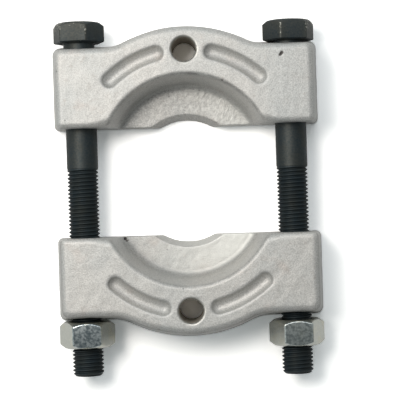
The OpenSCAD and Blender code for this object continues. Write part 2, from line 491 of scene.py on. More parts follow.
def close_up(piece: Object, smooth_below: float) -> None:
    """Merges doubles, turns the faces outwards and sets which edges stay sharp.

    Args:
        piece: the object.
        smooth_below: edges that turn more than this many degrees stay sharp.
    """
    work = bmesh.new()
    work.from_mesh(piece.data)
    bmesh.ops.remove_doubles(work, verts=work.verts, dist=MERGE_M)
    bmesh.ops.recalc_face_normals(work, faces=work.faces)
    work.to_mesh(piece.data)
    work.free()
    piece.data.shade_smooth()
    piece.data.set_sharp_from_angle(angle=math.radians(smooth_below))


def set_attribute(piece: Object, name: str, values: Array) -> None:
    """Stores one number per point of a mesh.

    Args:
        piece: the object.
        name: the attribute's name.
        values: one value per point.
    """
    layer = piece.data.attributes.new(name, "FLOAT", "POINT")
    layer.data.foreach_set("value", np.asarray(values, np.float32))


def points_mm(piece: Object) -> Array:
    """Reads a mesh's points.

    Args:
        piece: the object.

    Returns:
        Places in millimetres, one row each.
    """
    flat = np.zeros(len(piece.data.vertices) * 3)
    piece.data.vertices.foreach_get("co", flat)
    return flat.reshape(-1, 3) / MM


@dataclass
class Layout:
    """Sizes that the pieces share, in millimetres.

    The gaps are how far the heads and nuts stand off the ears.
    """

    gap: float = 42.6
    thickness: float = 25.0
    ear_height: float = 33.4
    draft: float = math.radians(7.2)
    bolt_x: float = 41.0
    bolt_r: float = 6.1
    bolt_length: float = 130.0
    thread_relief: float = 0.04
    head_height: float = 8.0
    head_gaps: dict[Side, float] = field(default_factory=lambda: {Side.LEFT: 1.7, Side.RIGHT: 0.3})
    nut_gaps: dict[Side, float] = field(default_factory=lambda: {Side.LEFT: 0.7, Side.RIGHT: 2.1})
    head_flats: float = 18.0
    nut_flats: float = 19.0
    seat_margin: float = 0.8
    chamfer_angle: float = math.radians(39)
    chamfer_setback: float = 0.7

    @property
    def axis_z(self) -> float:
        """Height of the bolt axes over the back."""
        return self.thickness / 2

    @property
    def seat_height(self) -> float:
        """Distance of a spot face from the mating face."""
        return self.ear_height - self.axis_z * math.tan(self.draft)

    @property
    def seat_r(self) -> float:
        """Radius of a spot face: it clears the corners of a nut."""
        return self.nut_flats / math.sqrt(3) + self.seat_margin

    @property
    def seat_y(self) -> float:
        """Distance of the spot faces from the middle of the gap."""
        return self.gap / 2 + self.seat_height

    @property
    def centre_y(self) -> float:
        """The row origin, measured from the middle of the gap."""
        gaps = self.head_gaps.values()
        return self.seat_y + (max(gaps) + min(gaps) + self.head_height - self.bolt_length) / 2


@dataclass(frozen=True)
class JawWearAndPaintedLight:
    """Where a jaw is sooty, gritty and scoured, and where shade and light are painted on: amounts of 0 to
    1, and reaches in millimetres.

    A fade is where a mark starts and where it is full; a band is its middle and its spread.
    """

    rim_grime: float = 0.3
    rim_band: Pair = (0.25, 0.55)
    rim_reach: float = 3.0
    # painted shade: a dark band where the pocket's floor meets its wall, standing in for the shade in
    # that corner
    floor_painted_shade: float = 0.32
    floor_band: Pair = (0.5, 1.3)
    floor_inset: float = 1.2
    floor_spreads: Pair = (2.0, 1.2)
    floor_patchy: float = 0.3
    # painted shade: a dark band along the lower end of the top edge's rounding, all round the outer wall
    edge_painted_shade: float = 0.12
    edge_band: Pair = (0.8, 0.8)
    edge_reach: float = 1.0
    edge_patchy: float = 0.5
    patch_level: float = 0.55
    patches: tuple[tuple[float, float, int], ...] = ((0.4, 9.0, 31), (0.2, 1.4, 32))
    pit_fade: Pair = (1.25, 0.95)
    web_grit: float = 0.1
    web_fade: Pair = (1.0, 0.2)
    back_fade: Pair = (0.2, 0.9)
    web_scour: float = 0.4
    # painted light: the web's pale tone rises towards +X, deepening the pocket's left wall's shadow; the
    # patches are partly painted glints
    painted_light_lean: float = 0.02
    scour_and_glint_patch: float = 0.05
    scour_and_glint_wave: float = 1.5
    scour_and_glint_seed: int = 41
    wedge_scour: float = 1.0
    wedge_fade: Pair = (0.8, 0.2)
    mouth_margin: float = 0.1
    cut_margin: float = 0.05
    hole_margin: float = 0.2
    bore_margin: float = 0.45


@dataclass
class Jaw:
    """One cast half jaw: mating face on Y = 0, crown towards +Y, back on Z = 0, in millimetres."""

    layout: Layout
    half: Half
    wear_and_painted_light: JawWearAndPaintedLight
    ear_reach: float = 11.8
    crown_height: float = 40.8
    crown_radius: float = 54.5
    crown_blend: float = 13.0
    top_edge: float = 2.4
    back_edge: float = 0.6
    outer_corner: float = 3.2
    web_face_edge: float = 0.35
    ear_face_edge: float = 1.75
    ear_fade: Pair = (5.0, 9.0)
    high_fade: Pair = (1.0, 3.0)
    pocket_rim: float = 33.2
    pocket_lean: float = math.radians(10.7)
    web: float = 8.0
    floor_fillet: float = 2.4
    rim_edge: float = 1.5
    rim_corner: float = 1.6
    rim_corner_band: Pair = (1.2, 3.0)
    rim_corner_fade: Pair = (6.0, 1.0)
    notch_offset: float = 17.0
    notch_radius: float = 19.7
    notch_edge: float = 0.3
    wedge_lean: float = math.radians(14.4)
    feature_radius: float = 42.75
    puller_r: float = 4.65
    puller_edge: float = 0.12
    mouth: float = 0.7
    bore_clearance: float = 0.1
    bore_edge: float = 0.3
    slot_start: float = math.radians(14.4)
    slot_end: float = math.radians(42.4)
    slot_half: float = 3.15
    slot_bottom: float = 0.88
    slot_edge: float = 0.8
    slot_depth: float = 3.0
    skin_depth: float = 0.08
    skin_waves: tuple[Pair, Pair] = ((0.05, 9.0), (0.035, 3.2))
    pocket_wave: Pair = (0.03, 2.6)
    pocket_fade: Pair = (0.5, -1.5)
    floor_fade: Pair = (2.5, 0.5)
    step: float = 0.5
    margin: float = 1.2
    probe: float = 0.06
    pull: float = 0.3
    flattest: float = 0.2
    passes: int = 4
    smooth_below: float = 60.0
    pits: list[tuple[float, float, float, float]] = field(default_factory=list)

    @property
    def arc_offset(self) -> float:
        """Distance of the common arc centre beyond the mating face."""
        return self.crown_radius - self.crown_height

    @property
    def puller_y(self) -> float:
        """Distance of the puller hole from the mating face."""
        return self.feature_radius - self.arc_offset

    @property
    def seed(self) -> int:
        """Picks the pattern of the casting skin."""
        return 3 if self.half is Half.UPPER else 11

    @property
    def facing(self) -> Array:
        """Turns the jaw's own axes to the row's, and back."""
        return np.array([self.half.value, self.half.value, 1.0])

    @property
    def face_y(self) -> float:
        """Place of the mating face in the row frame."""
        return self.half.value * self.layout.gap / 2 - self.layout.centre_y

    def past_rim(self, places: Array) -> Array:
        """Level distance from the pocket's rim, negative over the pocket."""
        return np.hypot(places[:, 0], places[:, 1] + self.arc_offset) - self.pocket_rim

    def past_hole(self, places: Array) -> Array:
        """Level distance from the puller hole's wall, negative in the hole."""
        return np.hypot(places[:, 0], places[:, 1] - self.puller_y) - self.puller_r

    def past_bolt(self, places: Array) -> Array:
        """Distance from the nearer bolt axis."""
        return np.hypot(np.abs(places[:, 0]) - self.layout.bolt_x, places[:, 2] - self.layout.axis_z)

    def past_wedge(self, places: Array) -> Array:
        """Level distance from the notch's wedge wall, negative in the notch."""
        wall = self.notch_radius + places[:, 2] * math.tan(self.wedge_lean)
        return np.hypot(places[:, 0], places[:, 1] + self.notch_offset) - wall

    def outer_wall(self, places: Array) -> Array:
        """Signed distance to the leaning wall round ears and crown.

        Args:
            places: points in the jaw's own millimetres.

        Returns:
            Signed distance, negative in the metal.
        """
        x, y, z = places.T
        lean = z * math.tan(self.layout.draft)
        across = np.abs(x)
        qx = across - (self.layout.bolt_x + self.ear_reach - lean - self.outer_corner)
        qy = y - (self.layout.ear_height - lean - self.outer_corner)
        rounded = np.hypot(np.maximum(qx, 0), np.maximum(qy, 0)) - self.outer_corner
        ears = rounded + np.minimum(np.maximum(qx, qy), 0)
        crown = np.hypot(x, y + self.arc_offset) - (self.crown_radius - lean)
        reach = self.crown_radius + self.crown_blend
        blend_y = self.layout.ear_height + self.crown_blend
        blend_x = math.sqrt(reach**2 - (blend_y + self.arc_offset) ** 2)
        turn = math.acos(blend_x / reach)
        vx, vy = across - blend_x, y - blend_y
        angle = np.arctan2(vy, vx)
        hollow = (angle > turn - math.pi) & (angle < -math.pi / 2)
        blend = self.crown_blend + lean - np.hypot(vx, vy)
        return np.where(hollow, blend, np.minimum(ears, crown)) * math.cos(self.layout.draft)

    def slots(self, places: Array) -> Array:
        """Signed distance to the two round-bottomed arc slots.

        Args:
            places: points in the jaw's own millimetres.

        Returns:
            Signed distance, negative in the open slot.
        """
        x, y, z = places.T
        across, out = np.abs(x), y + self.arc_offset
        angle = np.clip(np.arctan2(across, out), self.slot_start, self.slot_end)
        middle = self.feature_radius * np.sin(angle), self.feature_radius * np.cos(angle)
        away = np.hypot(across - middle[0], out - middle[1])
        bottom = self.slot_bottom * self.slot_half
        centre = self.layout.thickness - self.slot_depth + bottom
        wall = bottom + (z - centre) * (self.slot_half - bottom) / (self.slot_depth - bottom)
        return np.where(z < centre, np.hypot(away, z - centre) - bottom, away - wall)

    def holes(self, places: Array) -> Array:
        """Signed distance to the puller hole with its two countersunk mouths.

        Args:
            places: points in the jaw's own millimetres.

        Returns:
            Signed distance, negative in the open hole.
        """
        z, hole = places[:, 2], self.past_hole(places)
        upper = (hole - (z - (self.layout.thickness - self.mouth))) * math.sqrt(0.5)
        lower = (hole - (self.mouth / 2 - z)) * math.sqrt(0.5)
        return np.minimum(hole, np.minimum(upper, lower))

    def face_edge(self, places: Array) -> Array:
        """Radius of the edges of the mating face: small on the web, large on the ears.

        Args:
            places: points in the jaw's own millimetres.

        Returns:
            The radius at each place.
        """
        z, down = places[:, 2], self.layout.thickness - places[:, 2]
        over_web, under_top = self.high_fade
        high = smoothstep(self.web + over_web, self.layout.thickness - under_top, z)
        far = smoothstep(*self.ear_fade, np.abs(places[:, 0]) - self.layout.bolt_x)
        at_rim = bell(self.past_rim(places), *self.rim_corner_band)
        at_rim = at_rim * smoothstep(*self.rim_corner_fade, down)
        return self.web_face_edge + self.ear_face_edge * np.maximum(high, far) + self.rim_corner * at_rim

    def solid(self, places: Array) -> Array:
        """Signed distance to the whole jaw.

        Args:
            places: points in the jaw's own millimetres.

        Returns:
            Signed distance, negative in the metal.
        """
        _, y, z = places.T
        top = self.layout.thickness
        past_wall = self.past_rim(places) + (top - z) * math.tan(self.pocket_lean)
        cone = past_wall * math.cos(self.pocket_lean)
        in_pocket = smoothstep(*self.pocket_fade, cone) * smoothstep(*self.floor_fade, z - self.web)
        skin = np.full(len(places), self.skin_depth)
        for pattern, (amount, wave) in enumerate(self.skin_waves):
            skin += amount * ripple(places, wave, self.seed + pattern)
        amount, wave = self.pocket_wave
        skin += amount * in_pocket * ripple(places, wave, self.seed + len(self.skin_waves))
        skin = np.maximum(skin, 0.0)
        metal = meet(self.outer_wall(places), z - top, self.top_edge) + skin
        bore = self.past_bolt(places)
        for other, edge in (
            (fuse(-cone, z - self.web + skin, self.floor_fillet), self.rim_edge),
            (-y, self.face_edge(places)),
            (-z, self.back_edge),
            (-self.past_wedge(places) * math.cos(self.wedge_lean), self.notch_edge),
            (-self.slots(places), self.slot_edge),
            (-self.holes(places), self.puller_edge),
            (-(bore - self.layout.bolt_r - self.bore_clearance), self.bore_edge),
        ):
            metal = meet(metal, other, edge)
        seat = np.maximum(bore - self.layout.seat_r, self.layout.seat_height - y)
        metal = np.maximum(metal, -seat)
        for *middle, size in self.pits:
            metal = np.maximum(metal, size - np.linalg.norm(places - middle, axis=1))
        return metal

    def skin(self) -> tuple[Array, Array]:
        """Skins the jaw and draws its points on to the true surface.

        Returns:
            Points in the jaw's own millimetres, and quads.
        """
        half_width = self.layout.bolt_x + self.ear_reach
        low = np.array([-half_width, 0.0, 0.0]) - self.margin
        high = np.array([half_width, self.crown_height, self.layout.thickness]) + self.margin
        counts = np.ceil((high - low) / self.step).astype(int) + 1
        axes = [start + self.step * np.arange(count) for start, count in zip(low, counts)]
        grid = np.stack(np.meshgrid(*axes, indexing="ij"), -1).reshape(-1, 3)
        points, quads = surface_net(self.solid(grid).reshape(counts), low, self.step)
        for _ in range(self.passes):
            here = self.solid(points)
            rises = [self.solid(points + d) - self.solid(points - d) for d in self.probe * np.eye(3)]
            slope = np.stack(rises, 1) / (2 * self.probe)
            size = np.maximum((slope**2).sum(1), self.flattest)
            points -= np.clip(here / size, -self.pull, self.pull)[:, None] * slope
        return points, quads

    def grime_and_shade(self, places: Array, own: Array) -> Array:
        """How dark each point is: soot in pits and on the rim, and painted shade round the pocket's floor
        and on the outer edge.

        Args:
            places: points from the mating face, in the row's axes.
            own: the same points in the jaw's own axes.

        Returns:
            0 for clean to 1 for the full dark tone.
        """
        wear_and_painted_light, z, rim = self.wear_and_painted_light, own[:, 2], self.past_rim(own)
        down = self.layout.thickness - z
        uneven = sum(amount * ripple(places, wave, seed) for amount, wave, seed in wear_and_painted_light.patches)
        bare = 1.0 - np.clip(wear_and_painted_light.patch_level + uneven, 0.0, 1.0)
        on_rim = bell(rim, *wear_and_painted_light.rim_band) * (down < wear_and_painted_light.rim_reach)
        foot = rim + down * math.tan(self.pocket_lean) + wear_and_painted_light.floor_inset
        on_floor = bell(foot, 0.0, np.where(foot < 0, *wear_and_painted_light.floor_spreads))
        on_floor = on_floor * bell(z - self.web, *wear_and_painted_light.floor_band)
        share, spread = wear_and_painted_light.edge_band
        on_edge = bell(down, share * self.top_edge, spread)
        on_edge = on_edge * (np.abs(self.outer_wall(own)) < wear_and_painted_light.edge_reach)
        layers = [
            wear_and_painted_light.rim_grime * on_rim * (1.0 - bare),
            # painted shade in the corner round the pocket's floor
            wear_and_painted_light.floor_painted_shade * on_floor * (1.0 - wear_and_painted_light.floor_patchy * bare),
            # painted shade along the lower end of the top edge's rounding
            wear_and_painted_light.edge_painted_shade * on_edge * (1.0 - wear_and_painted_light.edge_patchy * bare),
        ]
        for *middle, size in self.pits:
            layers.append(smoothstep(*wear_and_painted_light.pit_fade, np.linalg.norm(own - middle, axis=1) / size))
        return np.maximum.reduce(layers)

    def dress(self, piece: Object) -> None:
        """Stores where the casting is cut, bored, sooty, gritty and scoured, and where shade and light
        are painted on.

        Args:
            piece: the jaw, in place.
        """
        places = points_mm(piece)
        places[:, 1] -= self.face_y
        own = places * self.facing
        wear_and_painted_light, z, hole = self.wear_and_painted_light, own[:, 2], self.past_hole(own)
        at_mouth = np.minimum(self.layout.thickness - z, z) < self.mouth + wear_and_painted_light.mouth_margin
        in_bore = self.past_bolt(own) < self.layout.bolt_r + wear_and_painted_light.bore_margin
        on_web = smoothstep(*wear_and_painted_light.web_fade, z - self.web) * smoothstep(*wear_and_painted_light.back_fade, z)
        on_web = on_web * (self.past_rim(own) < 0)
        # painted light: the pale tone rises towards +X, and its patches are partly painted glints
        uneven = wear_and_painted_light.scour_and_glint_patch * ripple(places, wear_and_painted_light.scour_and_glint_wave, wear_and_painted_light.scour_and_glint_seed)
        scour = np.clip(wear_and_painted_light.web_scour + wear_and_painted_light.painted_light_lean * places[:, 0] + uneven, 0.0, 1.0)
        on_wedge = smoothstep(*wear_and_painted_light.wedge_fade, self.past_wedge(own))
        scour = scour * (1.0 - (1.0 - wear_and_painted_light.wedge_scour) * on_wedge)
        for name, values in (
            ("cut", (hole < self.mouth + wear_and_painted_light.cut_margin) & at_mouth),
            ("bore", ((hole < wear_and_painted_light.hole_margin) & ~at_mouth) | in_bore),
            # soot in pits and on the rim, and painted shade by the pocket's floor and along the outer
            # edge
            ("soot_and_shade", self.grime_and_shade(places, own)),
            ("web", wear_and_painted_light.web_grit * on_web),
            ("scoured_and_lit", scour * on_web),
        ):
            set_attribute(piece, name, values)

    def build(self, finish: Material) -> Object:
        """Makes the jaw's mesh, stands it in place and dresses it.

        Args:
            finish: the jaw's material.

        Returns:
            The finished object.
        """
        node = f"{self.half.name.lower()}_jaw"
        own, quads = self.skin()
        placed = own * self.facing + np.array([0.0, self.face_y, 0.0])
        piece = plain_mesh(f"{node}_casting", placed, quads, self.smooth_below)
        self.dress(piece)
        piece.data.materials.append(finish)
        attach(piece, node)
        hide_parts(node)
        return piece


def turned_edge(radii: Array, edge: Array, slope: float, soft: float) -> list[tuple[Array, Array]]:
    """Softened edge between the flats of a hexagon and its turned chamfer, flats first.

    Args:
        radii: radius of the flats at each angle.
        edge: level of the sharp edge at each angle.
        slope: angle of the chamfer to the end face.
        soft: length that the rounding takes on each side of the edge.

    Returns:
        Radius and level of each ring.
    """
    flat = edge - soft
    cone = (radii - soft * math.cos(slope), edge + soft * math.sin(slope))
    rings = []
    for t in (0.0, 0.3, 0.6, 1.0):
        a, b, c = (1 - t) ** 2, 2 * t * (1 - t), t**2
        rings.append(((a + b) * radii + c * cone[0], a * flat + b * edge + c * cone[1]))
    return rings


def skin_rings(angles: Array, levels: list[tuple]) -> tuple[Array, list[list[int]]]:
    """Joins rings round an axis with quads.

    Args:
        angles: angle of each point of a ring.
        levels: radius and level of each ring in order, as one number or one for each angle; None
            for a radius is a single point that closes an end.

    Returns:
        All points, with the axis along Z, and faces.
    """
    rings = []
    for radius, level in levels:
        if radius is None:
            rings.append(np.array([[0.0, 0.0, level]]))
        else:
            parts = np.broadcast_arrays(radius * np.cos(angles), radius * np.sin(angles), level)
            rings.append(np.stack(parts, 1))
    faces: list[list[int]] = []
    first = 0
    for a, b in zip(rings, rings[1:]):
        second = first + len(a)
        for i in range(len(angles)):
            j = (i + 1) % len(angles)
            face = [first + i % len(a), first + j % len(a), second + j % len(b), second + i % len(b)]
            faces.append(list(dict.fromkeys(face)))
        first = second
    return np.concatenate(rings), faces


@dataclass
class HexPart:
    """What bolt heads and nuts share: a hexagon with turned chamfers, in millimetres.

    The turn is the angle in degrees from straight up to a corner.
    """

    layout: Layout
    side: Side
    flats: float
    turn: float
    blunt: float = 0.985
    soft_edge: float = 0.12
    land_inset: float = 0.3
    smooth_below: float = 24.0

    @property
    def word(self) -> str:
        """The side in lower case."""
        return self.side.name.lower()

    @property
    def axis_x(self) -> float:
        """Place of the part's axis across the row."""
        return self.side.value * self.layout.bolt_x

    @property
    def land(self) -> float:
        """Radius of the flat end inside the chamfer."""
        return self.flats / 2 - self.layout.chamfer_setback

    def hexagon(self) -> tuple[Array, Array]:
        """Angles round the hexagon with its blunted corners.

        Returns:
            Angles in radians, and the radius at each.
        """
        corner = self.flats / math.sqrt(3) * self.blunt
        half = np.array([0.28, 0.55, 0.8, 0.97, 1.0])
        steps = math.acos(self.flats / 2 / corner) * np.concatenate([-half[::-1], [0.0], half])
        angles = np.concatenate([math.radians(30 + 60 * k) + steps for k in range(6)])
        return angles + math.radians(self.turn - 90), np.tile(self.flats / 2 / np.cos(steps), 6)

    def flat_numbers(self, places: Array) -> Array:
        """Number of the flat that each point lies on, 0 to 5, counted from the corner at turn."""
        angle = np.degrees(np.arctan2(places[:, 0] - self.axis_x, places[:, 2] - self.layout.axis_z))
        return np.floor((angle - self.turn) / 60).astype(int) % 6

    def stand(self, own: Array, y: float) -> Array:
        """Stands turned points on the bolt axis.

        Args:
            own: points with the axis along their own Z, towards the head.
            y: place of their zero in the row frame.

        Returns:
            Points in the row frame.
        """
        return np.stack([self.axis_x + own[:, 0], y + own[:, 2], self.layout.axis_z - own[:, 1]], 1)


@dataclass
class HexBolt(HexPart):
    """A long hex bolt, head towards +Y."""

    thread_length: float = 81.0
    pitch: float = 1.5
    thread_depth: float = 0.78
    thread_root: float = 0.14
    thread_crest: float = 0.80
    thread_row: float = 0.125
    thread_columns: int = 57
    thread_smooth_below: float = 80.0
    tip_chamfer: float = 1.1
    run_out: float = 0.8
    neck_fillet: float = 0.35
    under_inset: float = 0.35
    under_levels: Pair = (0.22, 0.55)
    chamfer_soft: float = 0.28
    end_wear: float = 0.5
    end_depth: float = 0.05
    corner_wear: float = 1.05
    corner_fade: Pair = (0.962, 0.985)
    head_fade: Pair = (0.2, 0.8)
    shank_wear: float = 0.32
    # painted highlight along the upper left of the shank and thread, where the soft box's reflection
    # falls, in the rubbed grey
    shank_highlight: float = 0.3
    thread_highlight: float = 0.3
    highlight_lean: float = math.radians(-16)
    highlight_spread: float = math.radians(20)
    rubbed_flats: dict[int, float] = field(default_factory=dict)

    @property
    def under_y(self) -> float:
        """Place of the head's underside in the row frame."""
        return self.layout.seat_y + self.layout.head_gaps[self.side] - self.layout.centre_y

    @property
    def plain_length(self) -> float:
        """Length of the shank before the thread."""
        return self.layout.bolt_length - self.thread_length

    def head(self) -> tuple[Array, list[list[int]]]:
        """Head and plain shank as one turned and chamfered skin.

        Returns:
            Points along the bolt's own Z, and faces.
        """
        angles, radii = self.hexagon()
        slope, height = self.layout.chamfer_angle, self.layout.head_height
        shank, soft, end = self.layout.bolt_r, self.soft_edge, -self.plain_length
        edge = height - (radii - self.land) * math.tan(slope)
        levels = [
            (None, end),
            (shank - soft, end),
            (shank, end + soft),
            (shank, -self.neck_fillet),
            (shank + self.neck_fillet, 0.0),
            (self.land, 0.0),
            (radii - self.under_inset, self.under_levels[0]),
            (radii, self.under_levels[1]),
            *turned_edge(radii, edge, slope, self.chamfer_soft),
            (self.land + soft, height - soft),
            (self.land - self.land_inset, height),
            (None, height),
        ]
        return skin_rings(angles, levels)

    def thread_tree(self) -> NodeTree:
        """Geometry Nodes tree that winds a thread round a rod.

        Returns:
            The tree, with its sizes as named inputs in metres.
        """
        tree = bpy.data.node_groups.new(THREAD_TREE, "GeometryNodeTree")
        face = tree.interface
        face.new_socket("Geometry", in_out="OUTPUT", socket_type="NodeSocketGeometry")
        for name in ("Length", "Pitch", "Radius", "Depth", "Run-out", "Chamfer", "Row"):
            face.new_socket(name, in_out="INPUT", socket_type="NodeSocketFloat")
        face.new_socket("Finish", in_out="INPUT", socket_type="NodeSocketMaterial")
        spot = add(tree, "ShaderNodeSeparateXYZ", {0: add(tree, "GeometryNodeInputPosition")}).outputs
        known = {socket.name: socket for socket in add(tree, "NodeGroupInput").outputs}
        known.update({"Turn": spot["X"], "Along": spot["Y"]})
        # Each row is a sum: the name of its result, the operation, and earlier names or numbers
        for name, operation, *parts in (
            ("whole", "MULTIPLY_ADD", "Row", 2.0, "Length"),
            ("gaps", "DIVIDE", "whole", "Row"),
            ("rows", "ADD", "gaps", 1.0),
            ("down", "MULTIPLY_ADD", "Length", 0.5, "Along"),
            ("started", "MAXIMUM", "down", 0.0),
            ("level", "MINIMUM", "started", "Length"),
            ("wound", "DIVIDE", "level", "Pitch"),
            ("angle", "DIVIDE", "Turn", 2 * math.pi),
            ("turns", "SUBTRACT", "wound", "angle"),
            ("phase", "FRACT", "turns"),
            ("swing", "MULTIPLY_ADD", "phase", 2.0, -1.0),
            ("saw", "ABSOLUTE", "swing"),
            ("short", "SUBTRACT", self.thread_crest, "saw"),
            ("flank", "DIVIDE", "short", self.thread_crest - self.thread_root),
            ("rooted", "MINIMUM", "flank", 1.0),
            ("groove", "MAXIMUM", "rooted", 0.0),
            ("rise", "DIVIDE", "level", "Run-out"),
            ("fade", "MINIMUM", "rise", 1.0),
            ("share", "MULTIPLY", "groove", "fade"),
            ("bite", "MULTIPLY", "share", "Depth"),
            ("threaded", "SUBTRACT", "Radius", "bite"),
            ("left", "SUBTRACT", "Length", "level"),
            ("tip", "SUBTRACT", "Radius", "Chamfer"),
            ("cone", "ADD", "tip", "left"),
            ("pointed", "MINIMUM", "threaded", "cone"),
            ("past", "SUBTRACT", "down", "level"),
            ("miss", "ABSOLUTE", "past"),
            ("half_row", "MULTIPLY", "Row", 0.5),
            ("kept", "LESS_THAN", "miss", "half_row"),
            ("radius", "MULTIPLY", "pointed", "kept"),
            ("cosine", "COSINE", "Turn"),
            ("sine", "SINE", "Turn"),
            ("X", "MULTIPLY", "radius", "cosine"),
            ("Y", "MULTIPLY", "level", -1.0),
            ("Z", "MULTIPLY", "radius", "sine"),
        ):
            links = {number: known.get(part, part) for number, part in enumerate(parts)}
            known[name] = add(tree, "ShaderNodeMath", links, operation=operation)
        sizes = {"Size X": 2 * math.pi, "Size Y": known["whole"]}
        counts = {"Vertices X": self.thread_columns, "Vertices Y": known["rows"]}
        sheet = add(tree, "GeometryNodeMeshGrid", sizes | counts)
        place = add(tree, "ShaderNodeCombineXYZ", {axis: known[axis] for axis in "XYZ"})
        wrapped = add(tree, "GeometryNodeSetPosition", {"Geometry": sheet, "Position": place})
        merged = add(tree, "GeometryNodeMergeByDistance", {"Geometry": wrapped, "Distance": MERGE_M})
        real = add(tree, "GeometryNodeRealizeInstances", {"Geometry": merged})
        dressed = add(tree, "GeometryNodeSetMaterial", {"Geometry": real, "Material": known["Finish"]})
        add(tree, "NodeGroupOutput", {"Geometry": dressed})
        return tree

    def thread(self, finish: Material) -> Object:
        """Winds this bolt's thread and stands it below the shank.

        Args:
            finish: the bolt's material.

        Returns:
            A plain mesh object.
        """
        tree = bpy.data.node_groups.get(THREAD_TREE) or self.thread_tree()
        holder = in_scene("thread_holder", bpy.data.meshes.new("thread_holder"))
        wind = holder.modifiers.new("wind", "NODES")
        wind.node_group = tree
        sizes = {
            "Length": self.thread_length * MM,
            "Pitch": self.pitch * MM,
            "Radius": (self.layout.bolt_r - self.layout.thread_relief) * MM,
            "Depth": self.thread_depth * MM,
            "Run-out": self.run_out * MM,
            "Chamfer": self.tip_chamfer * MM,
            "Row": self.thread_row * MM,
            "Finish": finish,
        }
        for socket in tree.interface.items_tree:
            if socket.in_out == "INPUT":
                wind[socket.identifier] = sizes[socket.name]
        graph = bpy.context.evaluated_depsgraph_get()
        mesh = bpy.data.meshes.new_from_object(holder.evaluated_get(graph))
        bpy.data.objects.remove(holder)
        place = Vector((self.axis_x, self.under_y - self.plain_length, self.layout.axis_z)) * MM
        mesh.transform(Matrix.Translation(place))
        made = in_scene("thread", mesh)
        close_up(made, self.thread_smooth_below)
        return made

    def painted_highlight(self, places: Array) -> Array:
        """1 on a painted highlight along the upper left of the shank, where the lamp's reflection falls,
        falling to 0 beside it.
        """
        angle = np.arctan2(places[:, 0] - self.axis_x, places[:, 2] - self.layout.axis_z)
        return bell(angle, self.highlight_lean, self.highlight_spread)

    def wear_and_painted_light(self, places: Array) -> Array:
        """How far the black is rubbed off at each point of the head and shank, with a painted highlight
        along the shank.

        Args:
            places: points in the row frame.

        Returns:
            0 for untouched black to 1 for rubbed steel; the painted highlight uses the same scale.
        """
        up = places[:, 1] - self.under_y
        radius = np.hypot(places[:, 0] - self.axis_x, places[:, 2] - self.layout.axis_z)
        corner = smoothstep(*self.corner_fade, radius / (self.flats / math.sqrt(3)))
        flat = self.flat_numbers(places)
        rub = np.zeros(len(places))
        for number, amount in self.rubbed_flats.items():
            rub[flat == number] = amount
        rub[up > self.layout.head_height - self.end_depth] = self.end_wear
        head = smoothstep(*self.head_fade, up) * np.maximum(rub, self.corner_wear * corner)
        # handling wear all along the shank, plus a painted highlight on its upper left
        shank = self.shank_wear + self.shank_highlight * self.painted_highlight(places)
        return np.where(up > self.head_fade[0], head, shank)

    def build(self, finish: Material) -> Object:
        """Makes the whole bolt and dresses it.

        Args:
            finish: the bolt's material.

        Returns:
            The finished object.
        """
        own, faces = self.head()
        placed = self.stand(own, self.under_y)
        piece = plain_mesh(f"bolt_{self.word}_steel", placed, faces, self.smooth_below)
        piece.data.materials.append(finish)
        set_attribute(piece, "wear_and_painted_light", self.wear_and_painted_light(points_mm(piece)))
        thread = self.thread(finish)
        # the thread carries only the painted highlight
        set_attribute(thread, "wear_and_painted_light", self.thread_highlight * self.painted_highlight(points_mm(thread)))
        bpy.ops.object.select_all(action="DESELECT")
        thread.select_set(True)
        piece.select_set(True)
        bpy.context.view_layer.objects.active = piece
        bpy.ops.object.join()
        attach(piece, f"{self.word}_bolt")
        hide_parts(f"bolt_{self.word}")
        return piece


@dataclass
class HexNut(HexPart):
    """A hex nut chamfered at both ends."""

    height: float = 10.3
    clearance: float = 0.1
    bore_chamfer: float = 0.5
    chamfer_soft: float = 0.34
    spangled_flat: int = 0
    spangle: float = 1.0
    spangle_margin: float = 0.02

    def build(self, finish: Material) -> Object:
        """Makes the nut and dresses it.

        Args:
            finish: the nut's material.

        Returns:
            The finished object.
        """
        angles, radii = self.hexagon()
        slope, soft, wide = self.layout.chamfer_angle, self.soft_edge, self.bore_chamfer
        bore = self.layout.bolt_r - self.layout.thread_relief + self.clearance
        edge = -(radii - self.land) * math.tan(slope)
        upper = [
            *turned_edge(radii, edge, slope, self.chamfer_soft),
            (self.land + soft, -soft),
            (self.land - self.land_inset, 0.0),
            (bore + wide, 0.0),
            (bore, -wide),
        ]
        lower = [(radius, -self.height - level) for radius, level in reversed(upper)]
        own, faces = skin_rings(angles, [upper[-1], *lower, *upper])
        seat = -self.layout.seat_y - self.layout.nut_gaps[self.side] - self.layout.centre_y
        piece = plain_mesh(f"nut_{self.word}_zinc", self.stand(own, seat), faces, self.smooth_below)
        piece.data.materials.append(finish)
        now = points_mm(piece)
        on_flat = self.flat_numbers(now) == self.spangled_flat
        radius = np.hypot(now[:, 0] - self.axis_x, now[:, 2] - self.layout.axis_z)
        outside = radius > self.flats / 2 - self.spangle_margin
        set_attribute(piece, "spangle", self.spangle * (on_flat & outside))
        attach(piece, f"{self.word}_nut")
        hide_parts(f"nut_{self.word}")
        return piece


